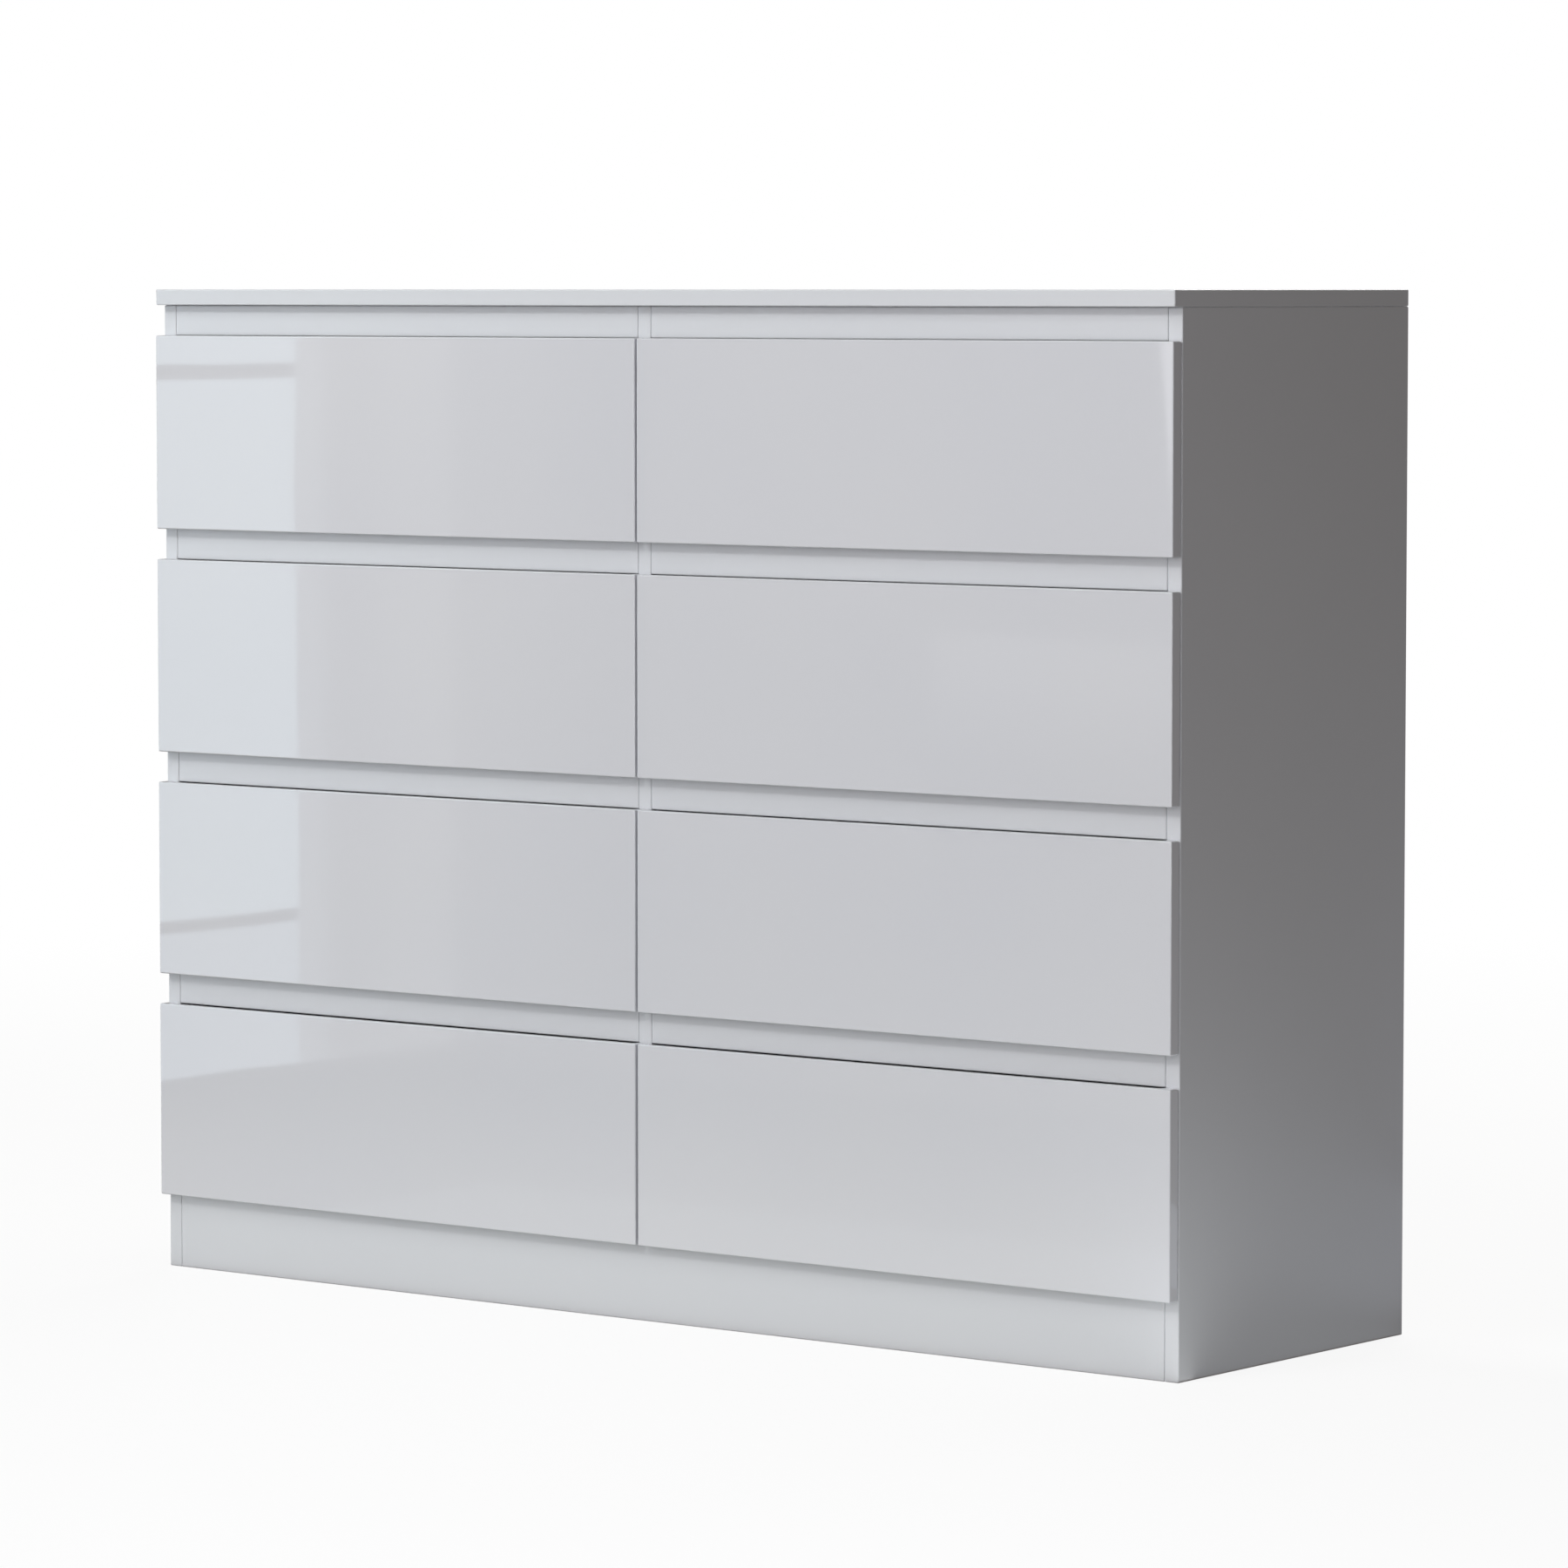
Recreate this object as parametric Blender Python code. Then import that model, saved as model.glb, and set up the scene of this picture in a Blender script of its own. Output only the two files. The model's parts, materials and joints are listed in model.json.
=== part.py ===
"""Wide chest with two columns of four handle-less drawers, in flat-pack board construction.

Frame: metres, +Z up, drawers open towards -Y, +X to the right of a person facing the fronts.
The origin is on the floor, at the centre of the whole chest's footprint.
"""
import bmesh
import bpy
from mathutils import Vector

# Overall sizes
WIDTH = 1.200  # across the outer faces of the side panels
HEIGHT = 0.955  # floor to the top face
CARCASS_DEPTH = 0.360  # front edges of the side panels to their rear edges
ROWS = 4

# Boards and sheets
BOARD = 0.015  # melamine-faced board of the carcass
FRONT_THICK = 0.0127  # gloss drawer front, half-inch board
BOX_WALL = 0.012  # foil-wrapped wall of the drawer box
SHEET = 0.003  # hardboard of the backs and drawer bases
ARRIS = 0.001  # rounded edge of an edge-banded board
FRONT_ARRIS = 0.0012  # rounder edge of a gloss front
WALL_ARRIS = 0.0008  # softened edge of a wrapped drawer wall

# Layout of the face
GRIP_GAP = 0.0295  # open height above each drawer front
PLINTH_SHOW = 0.072  # plinth seen below the lowest fronts
FRONT_STAND_OFF = 0.0008  # front held off the carcass by its bumpers
TOP_SET_BACK = 0.0015  # front edge of the top behind the front faces
FRONT_INSET = 0.0005  # end of a front inside the outer face of a side panel
COLUMN_GAP = 0.0025  # between the fronts of the two columns
FRONT_LAP = 0.008  # lowest fronts lap over the plinth board

# Finger rebate along the back of each front's top edge
LIP = 0.0065  # what is left of the front at its top edge
REBATE_HEIGHT = 0.018

# Drawer box
BOX_LIFT = 0.010  # lowest box above the base panel
BOX_HEADROOM = 0.0295  # top of a box below the top edge of its front
BOX_SIDE_PLAY = 0.003  # between a box wall and the upright beside it
BOX_REAR_ROOM = 0.0105  # between a closed box and the back panel
RAIL_TO_BOX = 0.0025  # a box passes this far above the grip rail below it
BASE_EDGE = 0.010  # drawer base above the lower edge of its box
BASE_GROOVE = 0.006  # depth of the groove that holds a drawer base in the walls
FRONT_GROOVE = 0.005  # depth of the same groove in a drawer front

# Runner strips
RUNNER_HEIGHT = 0.017
RUNNER_GROOVE = 0.007  # depth of the groove in a box wall
RUNNER_PLAY = 0.0005  # above and below a runner in its groove
RUNNER_END_PLAY = 0.001  # between a runner's face and the bottom of its groove
RUNNER_SET_BACK = 0.018  # runner behind the front edges of the uprights
RUNNER_REAR_ROOM = 0.006  # between a runner and the back panel
RUNNER_LEAD = 0.004  # tapered nose of a runner

# Back, plinth and wall fixing
BACK_RECESS = 0.018  # rear face of the backs in front of the carcass's rear edges
SHEET_GROOVE = 0.006  # depth of the grooves that hold the backs
PLINTH_REAR_INSET = 0.006  # rear plinth in front of the back panels
BRACKET_LENGTH = 0.030
BRACKET_DROP = 0.032  # height of the leaf that faces the wall
BRACKET_SHELF = 0.015  # depth of the leaf under the top panel
BRACKET_STEEL = 0.0015
BRACKET_HOLE = 0.006  # diameter of the screw hole in the wall leaf
BRACKET_FROM_SIDE = 0.150  # bracket's centre from the outer face of its side panel

GAP = 0.0003  # between pieces that meet
SHEET_PLAY = 0.0003  # each side of a sheet in its groove

# Worked out from the sizes above
TOTAL_DEPTH = CARCASS_DEPTH + FRONT_STAND_OFF + FRONT_THICK
FACE_Y = -TOTAL_DEPTH / 2  # plane of the front faces
REAR_Y = TOTAL_DEPTH / 2
CARCASS_Y = FACE_Y + FRONT_THICK + FRONT_STAND_OFF  # front edges of the carcass
FRONT_BACK_Y = FACE_Y + FRONT_THICK
BACK_REAR_Y = REAR_Y - BACK_RECESS
BACK_FRONT_Y = BACK_REAR_Y - SHEET
TOP_UNDER = HEIGHT - BOARD
PLINTH_HEIGHT = PLINTH_SHOW + FRONT_LAP
BASE_TOP = PLINTH_HEIGHT + BOARD
FRONT_HEIGHT = (TOP_UNDER - PLINTH_SHOW - ROWS * GRIP_GAP) / ROWS
BOX_RISE = BASE_TOP + BOX_LIFT - PLINTH_SHOW  # box above the lower edge of its front
SIDES = {"left": -1, "right": 1}

WHITE_BOARD = ("white_board", (0.70, 0.70, 0.71), 0.35, 0.0)
WHITE_GLOSS = ("white_gloss", (0.62, 0.63, 0.65), 0.05, 0.0)
LINEN_FOIL = ("linen_foil", (0.55, 0.54, 0.52), 0.55, 0.0)
HARDBOARD = ("hardboard", (0.30, 0.19, 0.11), 0.75, 0.0)
RUNNER_PLASTIC = ("runner_plastic", (0.66, 0.66, 0.65), 0.40, 0.0)
ZINC_STEEL = ("zinc_steel", (0.62, 0.64, 0.66), 0.35, 1.0)


def finish_material(finish):
    name, colour, roughness, metallic = finish
    material = bpy.data.materials.get(name)
    if material:
        return material
    material = bpy.data.materials.new(name)
    material.use_nodes = True
    shader = material.node_tree.nodes["Principled BSDF"]
    shader.inputs["Base Color"].default_value = (*colour, 1.0)
    shader.inputs["Roughness"].default_value = roughness
    shader.inputs["Metallic"].default_value = metallic
    return material


def place(name, bm, centre, finish, parent=None):
    """Turn a bmesh that is modelled around its own centre into a named object at that centre."""
    bmesh.ops.recalc_face_normals(bm, faces=bm.faces)
    mesh = bpy.data.meshes.new(name)
    bm.to_mesh(mesh)
    bm.free()
    piece = bpy.data.objects.new(name, mesh)
    bpy.context.collection.objects.link(piece)
    piece.location = centre
    if parent:
        piece.parent = parent
        piece.location = centre - parent.location
    if finish:
        mesh.materials.append(finish_material(finish))
    return piece


def add_box(bm, low, high, arris=0.0, segments=1):
    """Add a box between two corners, its twelve edges softened when arris is given."""
    size = high - low
    verts = bmesh.ops.create_cube(bm, size=1.0)["verts"]
    bmesh.ops.scale(bm, vec=size, verts=verts)
    bmesh.ops.translate(bm, vec=(low + high) / 2, verts=verts)
    if arris:
        edges = list({edge for vert in verts for edge in vert.link_edges})
        bmesh.ops.bevel(bm, geom=edges, offset=arris, segments=segments, profile=0.5, affect="EDGES")


def add_prism(bm, outline, low_z, high_z):
    """Add an upright prism on an outline of (x, y) points."""
    face = bm.faces.new([bm.verts.new((x, y, low_z)) for x, y in outline])
    top = bmesh.ops.extrude_face_region(bm, geom=[face])["geom"]
    raised = [item for item in top if isinstance(item, bmesh.types.BMVert)]
    bmesh.ops.translate(bm, vec=(0, 0, high_z - low_z), verts=raised)


def cut(piece, centre, bm):
    """Subtract what bm holds, in the same axes as the piece, with a Boolean that stays live."""
    cutter = place(piece.name + "_cutter", bm, centre, None, piece.parent)
    cutter.hide_render = True
    cutter.display_type = "WIRE"
    modifier = piece.modifiers.new("grooves", "BOOLEAN")
    modifier.operation = "DIFFERENCE"
    modifier.solver = "EXACT"
    modifier.object = cutter


def board(name, low, high, finish, arris=ARRIS, segments=2, grooves=(), parent=None):
    """A board between two corners, with box-shaped grooves cut into it."""
    low, high = Vector(low), Vector(high)
    centre = (low + high) / 2
    bm = bmesh.new()
    add_box(bm, low - centre, high - centre, arris, segments)
    piece = place(name, bm, centre, finish, parent)
    if grooves:
        bm = bmesh.new()
        for groove_low, groove_high in grooves:
            add_box(bm, Vector(groove_low) - centre, Vector(groove_high) - centre)
        cut(piece, centre, bm)
    return piece


def mirrored(side, low_x, high_x):
    """Swap a span given for the right half to the half that is asked for."""
    ends = (side * low_x, side * high_x)
    return min(ends), max(ends)


def bay_span():
    """Clear width of the right-hand drawer bay, between the divider and the side panel."""
    return BOARD / 2, WIDTH / 2 - BOARD


def front_bottom(row):
    """Lower edge of a front. Row 1 is the highest."""
    return TOP_UNDER - row * (GRIP_GAP + FRONT_HEIGHT)


# Carcass

def make_side_panel(where, side):
    inner = WIDTH / 2 - BOARD
    low_x, high_x = mirrored(side, inner, WIDTH / 2)
    groove_x = mirrored(side, inner - GAP, inner + SHEET_GROOVE)
    groove = (
        (groove_x[0], BACK_FRONT_Y - SHEET_PLAY, PLINTH_HEIGHT - FRONT_LAP),
        (groove_x[1], BACK_REAR_Y + SHEET_PLAY, TOP_UNDER + GAP),
    )
    board("side_panel_" + where, (low_x, CARCASS_Y, 0), (high_x, REAR_Y, TOP_UNDER - GAP),
          WHITE_BOARD, grooves=[groove])


def make_top_panel():
    reach = WIDTH / 2 - BOARD + SHEET_GROOVE
    groove = (
        (-reach, BACK_FRONT_Y - SHEET_PLAY, TOP_UNDER - GAP),
        (reach, BACK_REAR_Y + SHEET_PLAY, TOP_UNDER + SHEET_GROOVE),
    )
    board("top_panel", (-WIDTH / 2, FACE_Y + TOP_SET_BACK, TOP_UNDER), (WIDTH / 2, REAR_Y, HEIGHT),
          WHITE_BOARD, grooves=[groove])


def make_base_and_divider():
    reach = WIDTH / 2 - BOARD - GAP
    rear = BACK_FRONT_Y - GAP
    board("base_panel", (-reach, CARCASS_Y, PLINTH_HEIGHT + GAP), (reach, rear, BASE_TOP), WHITE_BOARD)
    board("centre_divider", (-BOARD / 2, CARCASS_Y, BASE_TOP + GAP), (BOARD / 2, rear, TOP_UNDER - GAP),
          WHITE_BOARD)


def make_plinth():
    reach = WIDTH / 2 - BOARD - GAP
    front_rear = CARCASS_Y + BOARD
    rear_front = BACK_FRONT_Y - PLINTH_REAR_INSET - BOARD
    board("plinth_front", (-reach, CARCASS_Y, 0), (reach, front_rear, PLINTH_HEIGHT), WHITE_BOARD)
    board("plinth_rear", (-reach, rear_front, 0), (reach, rear_front + BOARD, PLINTH_HEIGHT), WHITE_BOARD)
    board("plinth_centre", (-BOARD / 2, front_rear + GAP, 0), (BOARD / 2, rear_front - GAP, PLINTH_HEIGHT),
          WHITE_BOARD)


def make_back_panel(where, side):
    outer = WIDTH / 2 - BOARD + SHEET_GROOVE - GAP
    low_x, high_x = mirrored(side, GAP, outer)
    board("back_panel_" + where, (low_x, BACK_FRONT_Y, PLINTH_HEIGHT),
          (high_x, BACK_REAR_Y, TOP_UNDER + SHEET_GROOVE - GAP), HARDBOARD, arris=0.0)


def make_grip_rail(where, side, row):
    low_x, high_x = mirrored(side, bay_span()[0] + GAP, bay_span()[1] - GAP)
    bottom = front_bottom(row) + FRONT_HEIGHT  # level with the top edge of the front before it
    top = TOP_UNDER - GAP
    if row > 1:
        top = front_bottom(row - 1) + BOX_RISE - RAIL_TO_BOX
    board(f"grip_rail_{where}_{row}", (low_x, CARCASS_Y, bottom), (high_x, CARCASS_Y + BOARD, top), WHITE_BOARD)


def make_wall_bracket(where, side):
    """Steel angle under the top panel, its wall leaf flush with the rear of the chest."""
    middle = side * (WIDTH / 2 - BRACKET_FROM_SIDE)
    top = TOP_UNDER - GAP
    centre = Vector((middle, REAR_Y, top))
    outline = [(0, 0), (BRACKET_SHELF, 0), (BRACKET_SHELF, BRACKET_STEEL), (BRACKET_STEEL, BRACKET_STEEL),
               (BRACKET_STEEL, BRACKET_DROP), (0, BRACKET_DROP)]
    bm = bmesh.new()
    profile = [bm.verts.new((-BRACKET_LENGTH / 2, -y, -z)) for y, z in outline]
    face = bm.faces.new(profile)
    swept = bmesh.ops.extrude_face_region(bm, geom=[face])["geom"]
    ends = [item for item in swept if isinstance(item, bmesh.types.BMVert)]
    bmesh.ops.translate(bm, vec=(BRACKET_LENGTH, 0, 0), verts=ends)
    bracket = place("wall_bracket_" + where, bm, centre, ZINC_STEEL)
    bm = bmesh.new()
    hole = bmesh.ops.create_cone(bm, cap_ends=True, segments=16, radius1=BRACKET_HOLE / 2,
                                 radius2=BRACKET_HOLE / 2, depth=4 * BRACKET_STEEL)["verts"]
    bmesh.ops.rotate(bm, verts=hole, cent=(0, 0, 0), matrix=Vector((0, 0, 1)).rotation_difference(
        Vector((0, 1, 0))).to_matrix())
    hole_z = -(BRACKET_STEEL + BRACKET_DROP) / 2
    bmesh.ops.translate(bm, vec=(0, -BRACKET_STEEL / 2, hole_z), verts=hole)
    cut(bracket, centre, bm)


# Runners

def runner_height_span(row):
    """A runner sits at the middle of the box wall that slides on it."""
    low = front_bottom(row) + BOX_RISE
    high = front_bottom(row) + FRONT_HEIGHT - BOX_HEADROOM
    middle = (low + high) / 2
    return middle - RUNNER_HEIGHT / 2, middle + RUNNER_HEIGHT / 2


def make_runner(name, side, row, wall_x, inward):
    """Moulded strip on an upright, with a nose that leads into the groove of the box."""
    low_z, high_z = runner_height_span(row)
    reach = BOX_SIDE_PLAY + RUNNER_GROOVE - RUNNER_END_PLAY
    front = CARCASS_Y + RUNNER_SET_BACK
    rear = BACK_FRONT_Y - RUNNER_REAR_ROOM
    start = wall_x + inward * GAP
    end = wall_x + inward * reach
    centre = Vector(((start + end) / 2, (front + rear) / 2, (low_z + high_z) / 2))
    half = (end - start) / 2
    outline = [(-half, front), (half, front + RUNNER_LEAD), (half, rear), (-half, rear)]
    bm = bmesh.new()
    add_prism(bm, [(x, y - centre.y) for x, y in outline], -RUNNER_HEIGHT / 2, RUNNER_HEIGHT / 2)
    place(name, bm, centre, RUNNER_PLASTIC)


# Drawers

def make_drawer(where, side, row):
    bottom = front_bottom(row)
    top = bottom + FRONT_HEIGHT
    box_low = bottom + BOX_RISE
    box_high = top - BOX_HEADROOM
    bay = bay_span()
    bay_middle = side * (bay[0] + bay[1]) / 2
    box_half = (bay[1] - bay[0]) / 2 - BOX_SIDE_PLAY
    box_front = FRONT_BACK_Y + GAP
    box_rear = BACK_FRONT_Y - BOX_REAR_ROOM
    name = f"drawer_{where}_{row}"

    slide = bpy.data.objects.new(name + "_slide", None)
    slide.location = (bay_middle, box_rear, (box_low + box_high) / 2)
    bpy.context.collection.objects.link(slide)

    base_low = box_low + BASE_EDGE
    base_high = base_low + SHEET
    base_half = box_half - BOX_WALL + BASE_GROOVE - GAP
    groove_half = base_half + GAP
    groove_z = (base_low - SHEET_PLAY, base_high + SHEET_PLAY)

    make_front(name, slide, where, side, (bottom, top), groove_half, groove_z)
    make_box(name, slide, (box_front, box_rear), (box_low, box_high), box_half, groove_half, groove_z)
    board(name + "_base",
          (bay_middle - base_half, FRONT_BACK_Y - FRONT_GROOVE + GAP, base_low),
          (bay_middle + base_half, box_rear - BOX_WALL + BASE_GROOVE - GAP, base_high),
          HARDBOARD, arris=0.0, parent=slide)


def make_front(name, slide, where, side, span_z, groove_half, groove_z):
    """Gloss front: finger rebate at the top, groove for the drawer base."""
    bottom, top = span_z
    low_x, high_x = mirrored(side, COLUMN_GAP / 2, WIDTH / 2 - FRONT_INSET)
    bay = mirrored(side, *bay_span())
    rebate = (
        (bay[0], FACE_Y + LIP, top - REBATE_HEIGHT),
        (bay[1], FRONT_BACK_Y + GAP, top + GAP),
    )
    groove = (
        (slide.location.x - groove_half, FRONT_BACK_Y - FRONT_GROOVE, groove_z[0]),
        (slide.location.x + groove_half, FRONT_BACK_Y + GAP, groove_z[1]),
    )
    board(name + "_front", (low_x, FACE_Y, bottom), (high_x, FRONT_BACK_Y, top), WHITE_GLOSS,
          arris=FRONT_ARRIS, grooves=[rebate, groove], parent=slide)


def make_box(name, slide, span_y, span_z, half, groove_half, groove_z):
    """Wrapped board folded to a U: two walls and a rear, grooved outside for the runners
    and inside for the base."""
    middle_x = slide.location.x
    centre = Vector((middle_x, sum(span_y) / 2, sum(span_z) / 2))
    depth = (span_y[1] - span_y[0]) / 2
    height = (span_z[1] - span_z[0]) / 2
    inner = half - BOX_WALL
    outline = [(-half, -depth), (-inner, -depth), (-inner, depth - BOX_WALL), (inner, depth - BOX_WALL),
               (inner, -depth), (half, -depth), (half, depth), (-half, depth)]
    bm = bmesh.new()
    add_prism(bm, outline, -height, height)
    bmesh.ops.bevel(bm, geom=bm.edges[:], offset=WALL_ARRIS, segments=1, profile=0.5, affect="EDGES")
    box = place(name + "_box", bm, centre, LINEN_FOIL, slide)

    bm = bmesh.new()
    runner_half = RUNNER_HEIGHT / 2 + RUNNER_PLAY
    for side in SIDES.values():
        low_x, high_x = mirrored(side, half - RUNNER_GROOVE, half + GAP)
        add_box(bm, Vector((low_x, -depth - GAP, -runner_half)), Vector((high_x, depth + GAP, runner_half)))
    add_box(bm, Vector((-groove_half, -depth - GAP, groove_z[0] - centre.z)),
            Vector((groove_half, depth - BOX_WALL + BASE_GROOVE, groove_z[1] - centre.z)))
    cut(box, centre, bm)


def main():
    for old in list(bpy.data.objects):
        bpy.data.objects.remove(old, do_unlink=True)
    make_top_panel()
    make_base_and_divider()
    make_plinth()
    bay = bay_span()
    for where, side in SIDES.items():
        make_side_panel(where, side)
        make_back_panel(where, side)
        make_wall_bracket(where, side)
        for row in range(1, ROWS + 1):
            make_grip_rail(where, side, row)
            make_runner(f"runner_{where}_{row}_outer", side, row, side * bay[1], -side)
            make_runner(f"runner_{where}_{row}_inner", side, row, side * bay[0], side)
            make_drawer(where, side, row)


main()
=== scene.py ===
import json
import math

import bpy
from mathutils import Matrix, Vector


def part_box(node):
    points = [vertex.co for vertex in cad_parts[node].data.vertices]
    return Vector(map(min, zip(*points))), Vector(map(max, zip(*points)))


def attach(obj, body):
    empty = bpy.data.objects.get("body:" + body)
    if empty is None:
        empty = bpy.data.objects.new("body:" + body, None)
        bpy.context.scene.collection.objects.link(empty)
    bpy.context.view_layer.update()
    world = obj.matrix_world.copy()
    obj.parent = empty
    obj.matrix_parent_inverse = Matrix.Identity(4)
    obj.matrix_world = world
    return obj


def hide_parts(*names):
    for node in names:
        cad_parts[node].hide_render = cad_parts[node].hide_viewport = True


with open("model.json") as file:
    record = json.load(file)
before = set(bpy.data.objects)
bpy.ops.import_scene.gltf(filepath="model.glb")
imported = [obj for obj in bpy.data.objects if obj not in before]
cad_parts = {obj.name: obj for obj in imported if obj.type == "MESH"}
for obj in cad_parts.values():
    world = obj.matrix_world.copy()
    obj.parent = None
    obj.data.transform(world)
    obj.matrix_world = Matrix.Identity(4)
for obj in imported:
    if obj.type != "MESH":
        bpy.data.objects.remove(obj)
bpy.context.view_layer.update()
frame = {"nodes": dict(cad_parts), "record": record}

openings = {box["name"]: box["box_m"] for box in frame["record"]["physics"]["openings"]}
columns = ("left", "right")
rows = (1, 2, 3, 4)


# Small helpers

def linearColour(hexText):
    channels = [int(hexText[i:i + 2], 16) / 255 for i in (1, 3, 5)]
    return [c / 12.92 if c <= 0.04045 else ((c + 0.055) / 1.055) ** 2.4 for c in channels] + [1.0]


def addNode(tree, kind, settings, inputs):
    made = tree.nodes.new(kind)
    for name, value in settings.items():
        setattr(made, name, value)
    for name, value in inputs.items():
        if isinstance(value, bpy.types.NodeSocket):
            tree.links.new(value, made.inputs[name])
        else:
            made.inputs[name].default_value = value
    return made


def perMetre(millimetres):
    return 1000 / millimetres  # pattern scale for a feature of this size, on coordinates in metres


def startMaterial(name, values):
    material = bpy.data.materials.new(name)
    material.use_nodes = True
    tree = material.node_tree
    shader = tree.nodes["Principled BSDF"]
    for socket, value in values.items():
        shader.inputs[socket].default_value = value
    place = tree.nodes.new("ShaderNodeTexCoord").outputs["Object"]
    return material, tree, shader, place


def deselectAll():
    if bpy.context.object and bpy.context.object.mode != "OBJECT":
        bpy.ops.object.mode_set(mode="OBJECT")
    bpy.ops.object.select_all(action="DESELECT")


def pick(*pieces):
    deselectAll()
    for piece in pieces:
        piece.select_set(True)
    bpy.context.view_layer.objects.active = pieces[-1]


def addBox(name, low, high):
    deselectAll()
    low, high = Vector(low), Vector(high)
    bpy.ops.mesh.primitive_cube_add(size=1, location=(low + high) / 2)
    piece = bpy.context.object
    piece.scale = high - low
    piece.name = name
    applyPlace(piece)
    return piece


def addCylinder(name, centre, radius, depth, axis="Z", sides=24):
    deselectAll()
    turn = {"X": (0, math.pi / 2, 0), "Y": (math.pi / 2, 0, 0), "Z": (0, 0, 0)}[axis]
    bpy.ops.mesh.primitive_cylinder_add(vertices=sides, radius=radius, depth=depth,
                                        location=centre, rotation=turn)
    piece = bpy.context.object
    piece.name = name
    applyPlace(piece)
    return piece


def applyPlace(piece):
    pick(piece)
    bpy.ops.object.transform_apply(location=True, rotation=True, scale=True)


def selectWhere(piece, kind, test):
    # edit mode, with the faces, edges or verts selected whose middle (and normal) pass the test
    pick(piece)
    bpy.ops.object.mode_set(mode="EDIT")
    bpy.ops.mesh.select_mode(type=kind)
    bpy.ops.mesh.select_all(action="DESELECT")
    bpy.ops.object.mode_set(mode="OBJECT")
    mesh = piece.data
    if kind == "FACE":
        for face in mesh.polygons:
            face.select = test(face.center, face.normal)
    elif kind == "EDGE":
        for edge in mesh.edges:
            a, b = (mesh.vertices[i].co for i in edge.vertices)
            edge.select = test((a + b) / 2, (b - a).normalized())
    else:
        for vert in mesh.vertices:
            vert.select = test(vert.co, vert.normal)
    bpy.ops.object.mode_set(mode="EDIT")


def leaveEdit():
    bpy.ops.object.mode_set(mode="OBJECT")


edgeAngles = {"bevel": math.radians(40), "smooth": math.radians(35)}
near = 0.001  # an edge within this distance of a plane counts as lying in it


def applyBevel(piece, width, segments):
    bevel = piece.modifiers.new("arris", "BEVEL")
    bevel.width = width
    bevel.segments = segments
    bevel.limit_method = "ANGLE"
    bevel.angle_limit = edgeAngles["bevel"]
    bevel.harden_normals = False
    pick(piece)
    bpy.ops.object.modifier_apply(modifier=bevel.name)


def subtract(piece, cutter):
    cut = piece.modifiers.new("cut", "BOOLEAN")
    cut.operation = "DIFFERENCE"
    cut.solver = "EXACT"
    cut.object = cutter
    pick(piece)
    bpy.ops.object.modifier_apply(modifier=cut.name)
    bpy.data.objects.remove(cutter, do_unlink=True)


def copyTo(piece, name, shift):
    double = piece.copy()
    double.data = piece.data.copy()
    double.name = name
    bpy.context.collection.objects.link(double)
    double.location = shift
    applyPlace(double)
    return double


def joinAll(name, pieces):
    pick(*pieces)
    if len(pieces) > 1:
        bpy.ops.object.join()
    joined = bpy.context.object
    joined.name = name
    return joined


def finishPiece(piece, body, material):
    piece.data.materials.clear()
    piece.data.materials.append(material)
    pick(piece)
    bpy.ops.object.shade_smooth_by_angle(angle=edgeAngles["smooth"])
    flatten = piece.modifiers.new("flatten", "WEIGHTED_NORMAL")  # keeps the shading of flat faces flat
    flatten.keep_sharp = True
    bpy.ops.object.modifier_apply(modifier=flatten.name)
    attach(piece, body)
    return piece


# Materials

def makeMelamine():
    # Melamine paper pressed on particle board with a pearl plate: an even, cool white whose fine
    # dimples break highlights up into a soft satin sheen.
    sizes = {"pearl": 1.6, "cloud": 260}  # mm
    material, tree, shader, place = startMaterial("pearlMelamine", {
        "Base Color": linearColour("#D7D8DC"), "Roughness": 0.34, "IOR": 1.52, "Specular IOR Level": 0.5})
    cloud = addNode(tree, "ShaderNodeTexNoise", {}, {"Vector": place, "Scale": perMetre(sizes["cloud"]),
                                                     "Detail": 3.0})
    tint = addNode(tree, "ShaderNodeMix", {"data_type": "RGBA"}, {
        0: cloud.outputs["Fac"], 6: linearColour("#D5D6DA"), 7: linearColour("#D9DADD")})
    pearl = addNode(tree, "ShaderNodeTexNoise", {}, {"Vector": place, "Scale": perMetre(sizes["pearl"]),
                                                     "Detail": 2.0, "Roughness": 0.45})
    sheen = addNode(tree, "ShaderNodeMapRange", {}, {"Value": pearl.outputs["Fac"], "From Min": 0.3,
                                                     "From Max": 0.7, "To Min": 0.30, "To Max": 0.40})
    bump = addNode(tree, "ShaderNodeBump", {}, {"Strength": 0.25, "Distance": 0.00005,
                                                "Height": pearl.outputs["Fac"]})
    tree.links.new(tint.outputs[2], shader.inputs["Base Color"])
    tree.links.new(sheen.outputs["Result"], shader.inputs["Roughness"])
    tree.links.new(bump.outputs["Normal"], shader.inputs["Normal"])
    return material


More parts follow.
